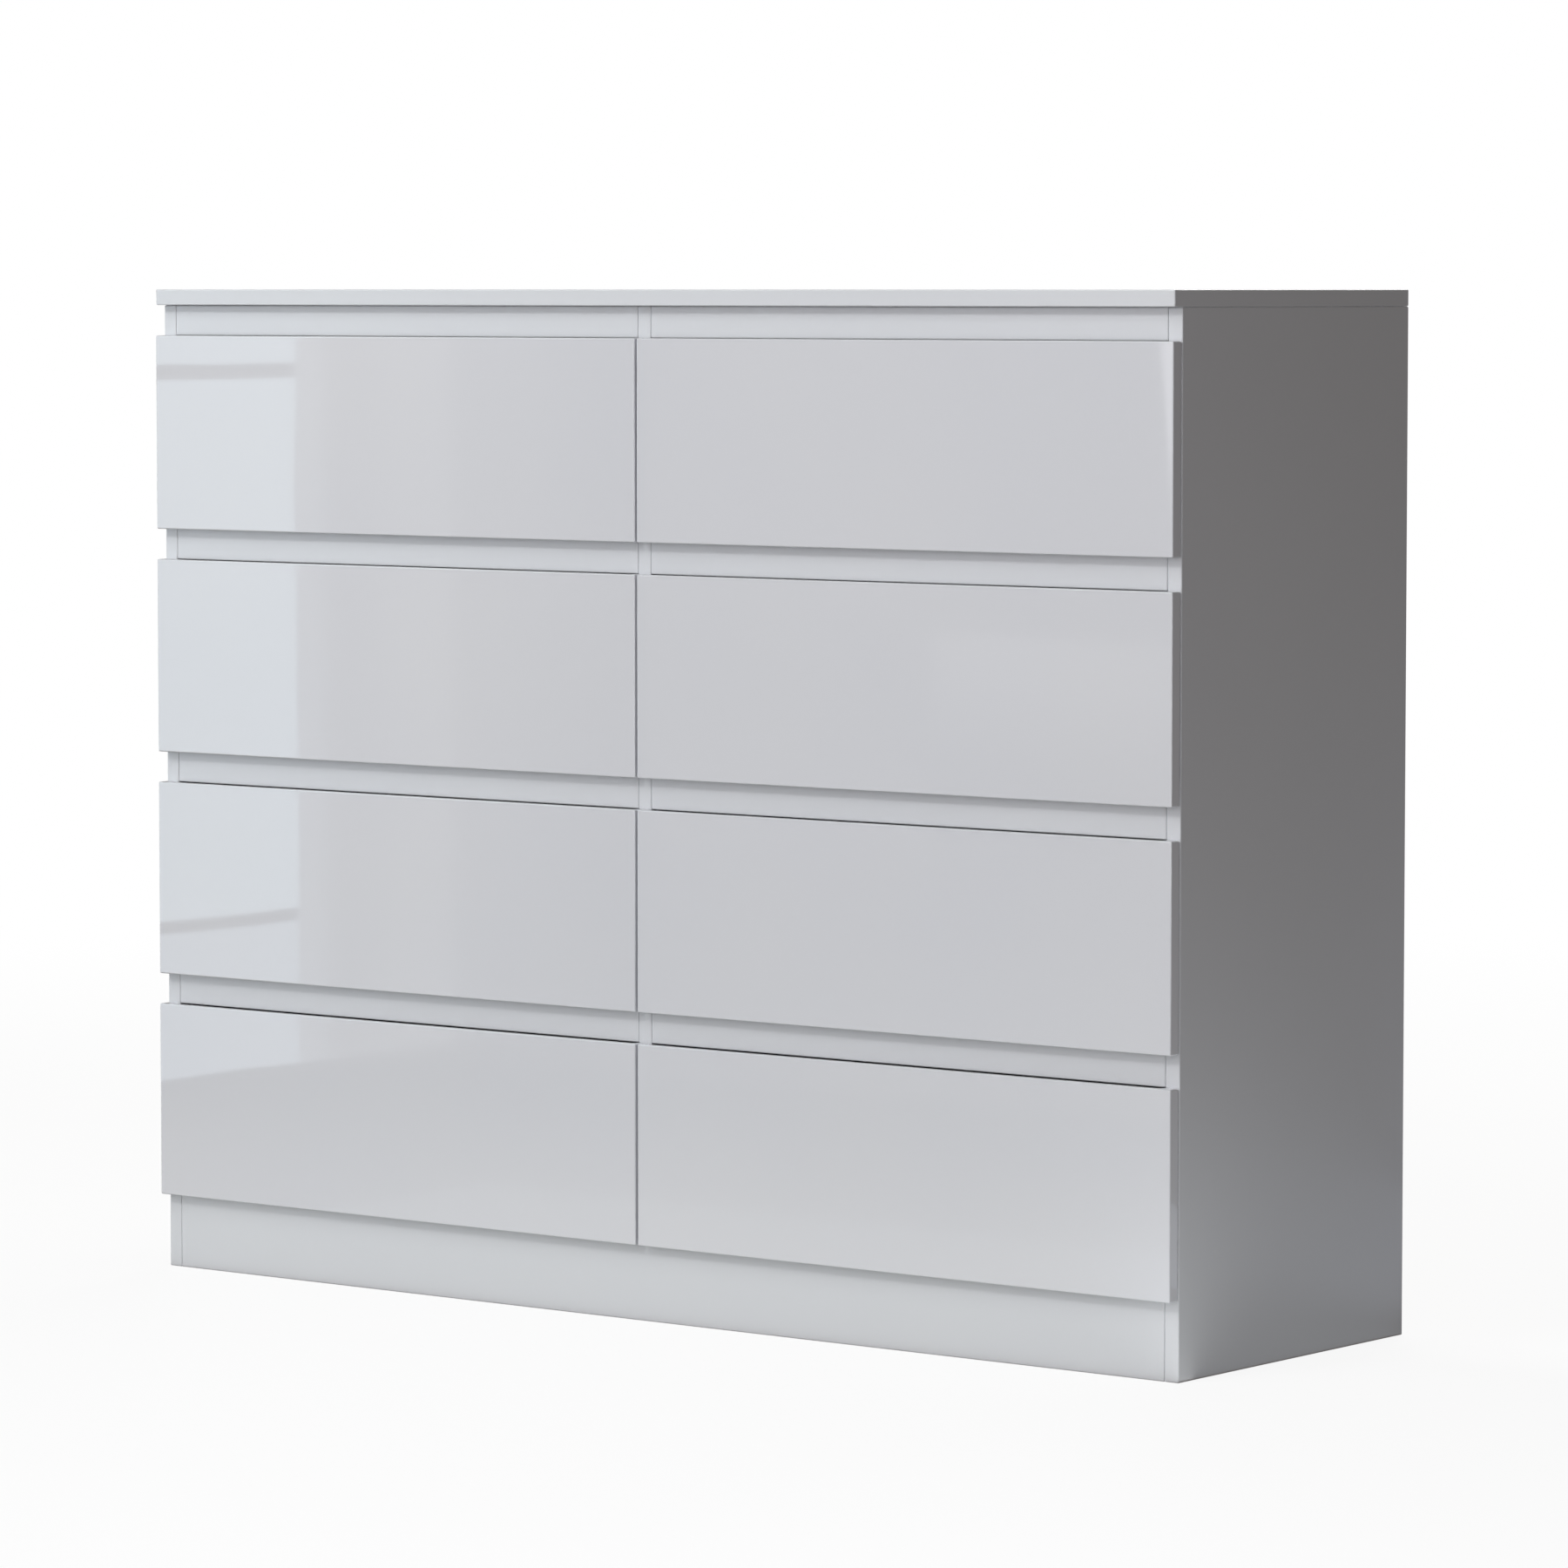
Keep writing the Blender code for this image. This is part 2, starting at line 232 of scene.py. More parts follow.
def makeGloss():
    # High-gloss film laminated on fibreboard: a cool white under a mirror-like face, whose reflections
    # show the board's long faint waves and a very fine orange peel.
    sizes = {"wave": 170, "peel": 2.6, "cloud": 320}  # mm
    material, tree, shader, place = startMaterial("glossFilm", {
        "Base Color": linearColour("#DBDCE0"), "Roughness": 0.022, "IOR": 1.5})
    cloud = addNode(tree, "ShaderNodeTexNoise", {}, {"Vector": place, "Scale": perMetre(sizes["cloud"]),
                                                     "Detail": 2.0})
    tint = addNode(tree, "ShaderNodeMix", {"data_type": "RGBA"}, {
        0: cloud.outputs["Fac"], 6: linearColour("#D9DAE0"), 7: linearColour("#DEDEE1")})
    wave = addNode(tree, "ShaderNodeTexNoise", {}, {"Vector": place, "Scale": perMetre(sizes["wave"]),
                                                    "Detail": 1.0})
    peel = addNode(tree, "ShaderNodeTexNoise", {}, {"Vector": place, "Scale": perMetre(sizes["peel"]),
                                                    "Detail": 1.0})
    long = addNode(tree, "ShaderNodeBump", {}, {"Strength": 0.3, "Distance": 0.0004,
                                                "Height": wave.outputs["Fac"]})
    fine = addNode(tree, "ShaderNodeBump", {}, {"Strength": 0.10, "Distance": 0.00002,
                                                "Height": peel.outputs["Fac"],
                                                "Normal": long.outputs["Normal"]})
    haze = addNode(tree, "ShaderNodeMapRange", {}, {"Value": cloud.outputs["Fac"], "From Min": 0.3,
                                                    "From Max": 0.7, "To Min": 0.018, "To Max": 0.03})
    tree.links.new(tint.outputs[2], shader.inputs["Base Color"])
    tree.links.new(haze.outputs["Result"], shader.inputs["Roughness"])
    tree.links.new(fine.outputs["Normal"], shader.inputs["Normal"])
    return material


def makeLinenFoil():
    # Paper foil printed with a linen weave and wrapped round fibreboard: warm pale grey threads over and
    # under each other, matt, with the print's faint relief. The weave is drawn coarser than real, to show.
    sizes = {"thread": 1.6, "slub": 14}  # mm
    material, tree, shader, place = startMaterial("linenFoil", {
        "Base Color": linearColour("#D6D4CE"), "Roughness": 0.55, "IOR": 1.48})
    slub = addNode(tree, "ShaderNodeTexNoise", {}, {"Vector": place, "Scale": perMetre(sizes["slub"]),
                                                    "Detail": 3.0, "Roughness": 0.7})
    threads = []
    for direction in ("X", "Y", "Z"):
        wave = addNode(tree, "ShaderNodeTexWave", {"bands_direction": direction}, {
            "Vector": place, "Scale": perMetre(sizes["thread"]) * math.pi / 10, "Distortion": 1.5,
            "Detail": 2.0, "Detail Scale": perMetre(sizes["slub"])})
        threads.append(wave.outputs["Fac"])
    twoWays = addNode(tree, "ShaderNodeMath", {"operation": "MULTIPLY"}, {0: threads[0], 1: threads[2]})
    allWays = addNode(tree, "ShaderNodeMath", {"operation": "MAXIMUM"}, {
        0: twoWays.outputs[0], 1: threads[1]})
    height = addNode(tree, "ShaderNodeMath", {"operation": "MULTIPLY_ADD"}, {
        0: slub.outputs["Fac"], 1: 0.6, 2: allWays.outputs[0]})
    tint = addNode(tree, "ShaderNodeMix", {"data_type": "RGBA"}, {
        0: height.outputs[0], 6: linearColour("#C9C6BF"), 7: linearColour("#DAD8D2")})
    bump = addNode(tree, "ShaderNodeBump", {}, {"Strength": 0.3, "Distance": 0.00006,
                                                "Height": height.outputs[0]})
    tree.links.new(tint.outputs[2], shader.inputs["Base Color"])
    tree.links.new(bump.outputs["Normal"], shader.inputs["Normal"])
    return material


def makeHardboard(name, axis, middle, whiteSide):
    # Wet-process hardboard: brown pressed fibres on one side, a smooth rolled white coat on the other.
    # Which side a point is on comes from its place across the sheet.
    sizes = {"fibre": 2.4, "fleck": 9, "cloud": 120}  # mm
    material, tree, shader, place = startMaterial(name, {"Roughness": 0.72, "IOR": 1.45})
    fibre = addNode(tree, "ShaderNodeTexNoise", {}, {"Vector": place, "Scale": perMetre(sizes["fibre"]),
                                                     "Detail": 6.0, "Roughness": 0.75, "Distortion": 1.2})
    fleck = addNode(tree, "ShaderNodeTexVoronoi", {}, {"Vector": place, "Scale": perMetre(sizes["fleck"]),
                                                       "Randomness": 1.0})
    cloud = addNode(tree, "ShaderNodeTexNoise", {}, {"Vector": place, "Scale": perMetre(sizes["cloud"]),
                                                     "Detail": 3.0})
    brown = addNode(tree, "ShaderNodeMix", {"data_type": "RGBA"}, {
        0: fibre.outputs["Fac"], 6: linearColour("#7C6043"), 7: linearColour("#B0916B")})
    flecked = addNode(tree, "ShaderNodeMix", {"data_type": "RGBA", "blend_type": "MULTIPLY"}, {
        0: 0.22, 6: brown.outputs[2], 7: fleck.outputs["Distance"]})
    clouded = addNode(tree, "ShaderNodeMix", {"data_type": "RGBA", "blend_type": "SOFT_LIGHT"}, {
        0: 0.35, 6: flecked.outputs[2], 7: cloud.outputs["Fac"]})
    parts = addNode(tree, "ShaderNodeSeparateXYZ", {}, {"Vector": place})
    side = addNode(tree, "ShaderNodeMath", {"operation": "LESS_THAN" if whiteSide < 0 else "GREATER_THAN"}, {
        0: parts.outputs[axis], 1: middle})
    coat = addNode(tree, "ShaderNodeMix", {"data_type": "RGBA"}, {
        0: side.outputs[0], 6: clouded.outputs[2], 7: linearColour("#DEDDD9")})
    smooth = addNode(tree, "ShaderNodeMapRange", {}, {"Value": side.outputs[0], "To Min": 0.78,
                                                      "To Max": 0.48})
    relief = addNode(tree, "ShaderNodeMapRange", {}, {"Value": side.outputs[0], "To Min": 0.7,
                                                      "To Max": 0.12})
    bump = addNode(tree, "ShaderNodeBump", {}, {"Strength": relief.outputs[0], "Distance": 0.00015,
                                                "Height": fibre.outputs["Fac"]})
    tree.links.new(coat.outputs[2], shader.inputs["Base Color"])
    tree.links.new(smooth.outputs[0], shader.inputs["Roughness"])
    tree.links.new(bump.outputs["Normal"], shader.inputs["Normal"])
    return material


def makeNylon():
    # Injection-moulded natural nylon: milky off-white, waxy, with the mould's fine spark texture.
    sizes = {"spark": 0.9}  # mm
    material, tree, shader, place = startMaterial("naturalNylon", {
        "Base Color": linearColour("#E3E1DA"), "Roughness": 0.38, "IOR": 1.53, "Subsurface Weight": 0.15,
        "Subsurface Radius": (0.002, 0.002, 0.0015), "Subsurface Scale": 1.0})
    spark = addNode(tree, "ShaderNodeTexNoise", {}, {"Vector": place, "Scale": perMetre(sizes["spark"]),
                                                     "Detail": 2.0})
    bump = addNode(tree, "ShaderNodeBump", {}, {"Strength": 0.3, "Distance": 0.00004,
                                                "Height": spark.outputs["Fac"]})
    tree.links.new(bump.outputs["Normal"], shader.inputs["Normal"])
    return material


def makeZinc():
    # Bright zinc plate on pressed steel: cool grey metal, unevenly frosted.
    sizes = {"frost": 5, "grain": 0.7}  # mm
    material, tree, shader, place = startMaterial("zincPlate", {
        "Base Color": linearColour("#C6C9CC"), "Metallic": 1.0, "Roughness": 0.34})
    frost = addNode(tree, "ShaderNodeTexNoise", {}, {"Vector": place, "Scale": perMetre(sizes["frost"]),
                                                     "Detail": 4.0, "Roughness": 0.6})
    grain = addNode(tree, "ShaderNodeTexNoise", {}, {"Vector": place, "Scale": perMetre(sizes["grain"]),
                                                     "Detail": 1.0})
    tint = addNode(tree, "ShaderNodeMix", {"data_type": "RGBA"}, {
        0: frost.outputs["Fac"], 6: linearColour("#B4B7BA"), 7: linearColour("#D8DADC")})
    rough = addNode(tree, "ShaderNodeMapRange", {}, {"Value": frost.outputs["Fac"], "To Min": 0.24,
                                                     "To Max": 0.46})
    bump = addNode(tree, "ShaderNodeBump", {}, {"Strength": 0.2, "Distance": 0.00003,
                                                "Height": grain.outputs["Fac"]})
    tree.links.new(tint.outputs[2], shader.inputs["Base Color"])
    tree.links.new(rough.outputs[0], shader.inputs["Roughness"])
    tree.links.new(bump.outputs["Normal"], shader.inputs["Normal"])
    return material


def makeBumperGel():
    # Clear cast polyurethane dots: soft, and faintly milky where light passes through.
    sizes = {"haze": 3.0}  # mm
    material, tree, shader, place = startMaterial("clearPolyurethane", {
        "Base Color": linearColour("#EDEEEE"), "Roughness": 0.12, "IOR": 1.5, "Transmission Weight": 0.6})
    haze = addNode(tree, "ShaderNodeTexNoise", {}, {"Vector": place, "Scale": perMetre(sizes["haze"]),
                                                    "Detail": 1.0})
    rough = addNode(tree, "ShaderNodeMapRange", {}, {"Value": haze.outputs["Fac"], "To Min": 0.08,
                                                     "To Max": 0.2})
    tree.links.new(rough.outputs[0], shader.inputs["Roughness"])
    return material


melamine = makeMelamine()
gloss = makeGloss()
linenFoil = makeLinenFoil()
nylon = makeNylon()
zinc = makeZinc()
gel = makeBumperGel()


def dressNode(name, material):
    node = frame["nodes"][name]
    node.data.materials.clear()
    node.data.materials.append(material)


def dressCarcass():
    for name in ("top_panel", "base_panel", "centre_divider", "plinth_front", "plinth_rear", "plinth_centre"):
        dressNode(name, melamine)
    for column in columns:
        dressNode("side_panel_" + column, melamine)
        low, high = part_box("back_panel_" + column)
        dressNode("back_panel_" + column, makeHardboard("backHardboard", "Y", (low.y + high.y) / 2, -1))
        for row in rows:
            dressNode(f"grip_rail_{column}_{row}", melamine)
            low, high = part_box(f"drawer_{column}_{row}_base")
            dressNode(f"drawer_{column}_{row}_base", makeHardboard("baseHardboard", "Z",
                                                                   (low.z + high.z) / 2, 1))


dressCarcass()
print("materials ready")


# Drawer fronts

frontSizes = {"arris": 0.0014, "arrisSteps": 3, "cutterRadius": 0.008, "root": 0.002, "margin": 0.0003,
              "past": 0.004}  # past: how far a cutter stands out of the board


def makeFront(column):
    # one front of a column, in its top row, with the routed finger rebate and the groove for the base
    size = frontSizes
    node = f"drawer_{column}_1_front"
    low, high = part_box(node)
    front = addBox("frontMaster", low, high)
    gripLow, gripHigh = (Vector(corner) for corner in openings[f"finger_rebate_{column}_1"])
    margin = Vector((size["margin"],) * 3)
    cutLow = gripLow - margin
    cutHigh = Vector((gripHigh.x + size["margin"], high.y + size["past"], high.z + size["past"]))
    cutter = addBox("rebateCutter", cutLow, cutHigh)
    selectWhere(cutter, "EDGE", lambda mid, way: abs(way.y) > 0.9 and mid.z < cutLow.z + near)
    bpy.ops.mesh.bevel(offset=size["cutterRadius"], segments=6)
    leaveEdit()
    selectWhere(cutter, "EDGE", lambda mid, way: abs(way.y) < 0.1 and mid.y < cutLow.y + near / 2
                and mid.z < high.z - size["root"])
    bpy.ops.mesh.bevel(offset=size["root"], segments=3)
    leaveEdit()
    subtract(front, cutter)
    baseLow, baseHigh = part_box(f"drawer_{column}_1_base")
    subtract(front, addBox("baseCutter", baseLow - margin, baseHigh + margin))
    applyBevel(front, size["arris"], size["arrisSteps"])
    return front


def placeFronts():
    for column in columns:
        master = makeFront(column)
        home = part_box(f"drawer_{column}_1_front")[0]
        for row in rows:
            node = f"drawer_{column}_{row}_front"
            front = copyTo(master, f"front_{column}_{row}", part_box(node)[0] - home)
            finishPiece(front, f"drawer_{column}_{row}", gloss)
            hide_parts(node)
        bpy.data.objects.remove(master, do_unlink=True)


placeFronts()
print("drawer fronts ready")


# Drawer boxes

boxSizes = {"wall": 0.012, "arris": 0.0009, "play": 0.0003, "runnerDepth": 0.007, "runnerPlay": 0.0005,
            "cam": 0.0075, "camDepth": 0.0092, "camFromFront": 0.034, "camHeights": (0.020, 0.105),
            "camSunk": 0.0012, "past": 0.010}
camSizes = {"radius": 0.0072, "thick": 0.0016, "slotReach": 0.0045, "slotHalf": 0.0006, "slotFloor": 0.0002,
            "notchFrom": 0.0055, "notchTo": 0.0080, "notchHalf": 0.0008, "notchFloor": 0.0005,
            "above": 0.0020, "arris": 0.0002}


def camPlaces(low, high):
    # (centre on the inner face of a wall, inward direction) for the four cams of a box
    size = boxSizes
    places = []
    for x, inward in ((low.x + size["wall"], 1), (high.x - size["wall"], -1)):
        for rise in size["camHeights"]:
            places.append((Vector((x, low.y + size["camFromFront"], low.z + rise)), inward))
    return places


def makeBox():
    # wrapped board folded to a U, with grooves for runners and base and blind holes for its cams
    size = boxSizes
    low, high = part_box("drawer_left_1_box")
    past = size["past"]
    box = addBox("boxMaster", low, high)
    inside = addBox("insideCutter", (low.x + size["wall"], low.y - past, low.z - past),
                    (high.x - size["wall"], high.y - size["wall"], high.z + past))
    subtract(box, inside)
    runnerLow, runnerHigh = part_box("runner_left_1_outer")
    grooveLow = runnerLow.z - size["runnerPlay"]
    grooveHigh = runnerHigh.z + size["runnerPlay"]
    baseLow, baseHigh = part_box("drawer_left_1_base")
    play = size["play"]
    cutters = [
        addBox("cutLeft", (low.x - past, low.y - past, grooveLow),
               (low.x + size["runnerDepth"], high.y + past, grooveHigh)),
        addBox("cutRight", (high.x - size["runnerDepth"], low.y - past, grooveLow),
               (high.x + past, high.y + past, grooveHigh)),
        addBox("cutBase", (baseLow.x - play, low.y - past, baseLow.z - play),
               (baseHigh.x + play, baseHigh.y + play, baseHigh.z + play)),
    ]
    for place, inward in camPlaces(low, high):
        middle = place - Vector((inward * (size["camDepth"] / 2 - near), 0, 0))
        cutters.append(addCylinder("cutCam", middle, size["cam"], size["camDepth"] + 2 * near, "X", 32))
    for cutter in cutters:
        subtract(box, cutter)
    applyBevel(box, size["arris"], 2)
    return box


def makeCam():
    # zinc die-cast cam: a disc with a cross slot and an arrow notch, lying just under the wall's face
    size = camSizes
    reach, half, floor, above = size["slotReach"], size["slotHalf"], size["slotFloor"], size["above"]
    cam = addCylinder("camMaster", (0, 0, 0), size["radius"], size["thick"], "X", 32)
    for low, high in (((floor, -reach, -half), (above, reach, half)),
                      ((floor, -half, -reach), (above, half, reach)),
                      ((size["notchFloor"], size["notchFrom"], -size["notchHalf"]),
                       (above, size["notchTo"], size["notchHalf"]))):
        subtract(cam, addBox("slotCutter", low, high))
    applyBevel(cam, size["arris"], 2)
    return cam


def placeBoxes():
    master = makeBox()
    cam = makeCam()
    turned = copyTo(cam, "camTurned", (0, 0, 0))
    turned.rotation_euler = (0, 0, math.pi)
    applyPlace(turned)
    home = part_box("drawer_left_1_box")[0]
    for column in columns:
        for row in rows:
            body = f"drawer_{column}_{row}"
            low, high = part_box(body + "_box")
            box = copyTo(master, f"box_{column}_{row}", low - home)
            finishPiece(box, body, linenFoil)
            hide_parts(body + "_box")
            cams = []
            for place, inward in camPlaces(low, high):
                seat = place - Vector((inward * boxSizes["camSunk"], 0, 0))
                cams.append(copyTo(cam if inward > 0 else turned, "cam", seat))
            finishPiece(joinAll(f"cams_{column}_{row}", cams), body, zinc)
    for spare in (master, cam, turned):
        bpy.data.objects.remove(spare, do_unlink=True)


placeBoxes()
print("drawer boxes ready")


# Runners with their screws

runnerSizes = {"nose": 0.0035, "margin": 0.0045, "channel": 0.0018, "arris": 0.0005,
               "screws": (0.025, 0.155, 0.290), "head": 0.0033, "headHeight": 0.0012, "headRound": 0.0008,
               "recessReach": 0.0016, "recessHalf": 0.0004, "recessFloor": 0.0005, "above": 0.0020}


def makeRunner(node, free):
    # moulded strip: rounded nose, and a channel in its free face where the screws sit
    size = runnerSizes
    low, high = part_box(node)
    runner = addBox("runnerMaster", low, high)
    freeX = high.x if free > 0 else low.x
    selectWhere(runner, "EDGE", lambda mid, way: abs(way.z) > 0.9 and abs(mid.x - freeX) < near
                and mid.y < low.y + near)
    bpy.ops.mesh.bevel(offset=size["nose"], segments=5)
    leaveEdit()
    selectWhere(runner, "FACE", lambda mid, normal: normal.x * free > 0.9)
    bpy.ops.mesh.inset(thickness=size["margin"])
    bpy.ops.mesh.extrude_region_move(TRANSFORM_OT_translate={"value": (-free * size["channel"], 0, 0)})
    leaveEdit()
    applyBevel(runner, size["arris"], 2)
    return runner


def makeScrew():
    # round-headed screw with a cross recess, its head along +X
    size = runnerSizes
    reach, half, floor, above = size["recessReach"], size["recessHalf"], size["recessFloor"], size["above"]
    head = addCylinder("screwMaster", (size["headHeight"] / 2, 0, 0), size["head"], size["headHeight"],
                       "X", 20)
    selectWhere(head, "EDGE", lambda mid, way: abs(way.x) < 0.5 and mid.x > size["headHeight"] * 0.9)
    bpy.ops.mesh.bevel(offset=size["headRound"], segments=3)
    leaveEdit()
    for low, high in (((floor, -reach, -half), (above, reach, half)),
                      ((floor, -half, -reach), (above, half, reach))):
        subtract(head, addBox("recessCutter", low, high))
    return head


def placeRunners():
    size = runnerSizes
    screw = makeScrew()
    screwBack = copyTo(screw, "screwBack", (0, 0, 0))
    screwBack.rotation_euler = (0, 0, math.pi)
    applyPlace(screwBack)
    for column in columns:
        for place in ("outer", "inner"):
            free = 1 if (column == "left") == (place == "outer") else -1
            master = makeRunner(f"runner_{column}_1_{place}", free)
            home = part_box(f"runner_{column}_1_{place}")[0]
            screws = []
            for row in rows:
                node = f"runner_{column}_{row}_{place}"
                low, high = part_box(node)
                runner = copyTo(master, f"runnerStrip_{column}_{row}_{place}", low - home)
                finishPiece(runner, "carcass", nylon)
                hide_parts(node)
                seat = (high.x if free > 0 else low.x) - free * size["channel"]
                for along in size["screws"]:
                    spot = Vector((seat, low.y + along, (low.z + high.z) / 2))
                    screws.append(copyTo(screw if free > 0 else screwBack, "screw", spot))
            finishPiece(joinAll(f"runnerScrews_{column}_{place}", screws), "carcass", zinc)
            bpy.data.objects.remove(master, do_unlink=True)
    for spare in (screw, screwBack):
        bpy.data.objects.remove(spare, do_unlink=True)


placeRunners()
print("runners ready")


# Bumpers on the backs of the fronts

bumperSizes = {"radius": 0.0028, "play": 0.0001, "edge": 0.0003, "fromTop": 0.040, "fromBottom": 0.022}


def placeBumpers():
    size = bumperSizes
    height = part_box("side_panel_right")[0].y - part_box("drawer_right_1_front")[1].y - size["play"]
    master = addCylinder("bumperMaster", (0, height / 2, 0), size["radius"], height, "Y", 24)
    selectWhere(master, "EDGE", lambda mid, way: abs(way.y) < 0.5 and mid.y > height * 0.9)
    bpy.ops.mesh.bevel(offset=size["edge"], segments=2)
    leaveEdit()
    uprightMiddle = (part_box("side_panel_right")[0].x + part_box("side_panel_right")[1].x) / 2
    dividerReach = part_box("centre_divider")[1].x
    for column in columns:
        side = -1 if column == "left" else 1
        for row in rows:
            low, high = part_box(f"drawer_{column}_{row}_front")
            inner = (dividerReach + min(abs(low.x), abs(high.x))) / 2
            dots = [copyTo(master, "dot", (side * x, high.y, z)) for x in (uprightMiddle, inner)
                    for z in (high.z - size["fromTop"], low.z + size["fromBottom"])]
            joined = joinAll(f"bumpers_{column}_{row}", dots)
            finishPiece(joined, f"drawer_{column}_{row}", gel)
    bpy.data.objects.remove(master, do_unlink=True)


placeBumpers()
print("bumpers ready")


# Rear: wall angles and nails

angleSizes = {"steel": 0.0015, "bend": 0.002, "corner": 0.004, "hole": 0.003, "slot": 0.006,
              "ends": 0.98, "arris": 0.0002, "past": 0.004}  # ends: how nearly round the slot's ends are
nailSizes = {"radius": 0.0021, "height": 0.0004, "round": 0.0002, "spacing": 0.115, "edge": 0.012,
             "fromDivider": 0.020, "overDivider": 0.6}


def makeWallAngle(column):
    # pressed steel angle: one leaf under the top, the other along the wall with a slotted hole
    size = angleSizes
    low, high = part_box("wall_bracket_" + column)
    angle = addBox("wallAngle_" + column, (low.x, low.y, high.z - size["steel"]), high)
    selectWhere(angle, "EDGE", lambda mid, way: abs(way.z) > 0.9 and mid.y < low.y + near)
    bpy.ops.mesh.bevel(offset=size["corner"], segments=5)
    leaveEdit()
    wall = addBox("wallLeaf", (low.x, high.y - size["steel"], low.z), (high.x, high.y, high.z))
    selectWhere(wall, "EDGE", lambda mid, way: abs(way.y) > 0.9 and mid.z < low.z + near)
    bpy.ops.mesh.bevel(offset=size["corner"], segments=5)
    leaveEdit()
    union = angle.modifiers.new("weld", "BOOLEAN")
    union.operation = "UNION"
    union.solver = "EXACT"
    union.object = wall
    pick(angle)
    bpy.ops.object.modifier_apply(modifier=union.name)
    bpy.data.objects.remove(wall, do_unlink=True)
    selectWhere(angle, "EDGE", lambda mid, way: abs(way.x) > 0.9 and mid.y > high.y - near / 10
                and mid.z > high.z - near / 10)
    bpy.ops.mesh.bevel(offset=size["bend"], segments=5)
    leaveEdit()
    middle = Vector(((low.x + high.x) / 2, high.y, (low.z + high.z - size["steel"]) / 2))
    reach = Vector((size["slot"], size["past"], size["hole"]))
    slot = addBox("slotCutter", middle - reach, middle + reach)
    selectWhere(slot, "EDGE", lambda mid, way: abs(way.y) > 0.9)
    bpy.ops.mesh.bevel(offset=size["hole"] * size["ends"], segments=6)
    leaveEdit()
    subtract(angle, slot)
    applyBevel(angle, size["arris"], 2)
    finishPiece(angle, "carcass", zinc)
    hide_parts("wall_bracket_" + column)


def placeNails():
    # flat nail heads along the edges of both backs
    size = nailSizes
    master = addCylinder("nailMaster", (0, size["height"] / 2, 0), size["radius"], size["height"], "Y", 16)
    selectWhere(master, "EDGE", lambda mid, way: abs(way.y) < 0.5 and mid.y > size["height"] * 0.9)
    bpy.ops.mesh.bevel(offset=size["round"], segments=2)
    leaveEdit()
    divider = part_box("centre_divider")[1].x
    baseLow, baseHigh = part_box("base_panel")
    for column in columns:
        side = -1 if column == "left" else 1
        low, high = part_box("back_panel_" + column)
        heads = []
        inner, outer = sorted((abs(low.x), abs(high.x)))
        count = int((high.z - low.z - 2 * size["edge"]) / size["spacing"])
        for step in range(count + 1):
            z = baseHigh.z + size["edge"] + step * size["spacing"]
            heads.append(copyTo(master, "head", (side * divider * size["overDivider"], high.y, z)))
        count = int((outer - inner - 2 * size["fromDivider"]) / size["spacing"])
        for step in range(count + 1):
            x = divider + size["fromDivider"] + step * size["spacing"]
            heads.append(copyTo(master, "head", (side * x, high.y, (baseLow.z + baseHigh.z) / 2)))
        finishPiece(joinAll("backNails_" + column, heads), "carcass", zinc)
    bpy.data.objects.remove(master, do_unlink=True)


edgingSizes = {"thick": 0.00025, "wide": 0.0075, "inset": 0.0012, "corner": 0.001, "lift": 0.00001}


def makeEndEdging(column):
    # edging tape on the upper end of a side panel, which fills the joint under the top
    size = edgingSizes
    side = -1 if column == "left" else 1
    low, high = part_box("side_panel_" + column)
    outer = side * (max(abs(low.x), abs(high.x)) - size["inset"])
    xLow, xHigh = sorted((outer, outer - side * size["wide"]))
    bottom = high.z + size["lift"]
    tape = addBox("endEdging_" + column, (xLow, low.y + size["inset"], bottom),
                  (xHigh, high.y - size["inset"], bottom + size["thick"]))
    selectWhere(tape, "EDGE", lambda mid, way: abs(way.z) > 0.9)
    bpy.ops.mesh.bevel(offset=size["corner"], segments=3)
    leaveEdit()
    finishPiece(tape, "carcass", melamine)


for column in columns:
    makeWallAngle(column)
    makeEndEdging(column)
placeNails()
print("rear ready")


# Studio

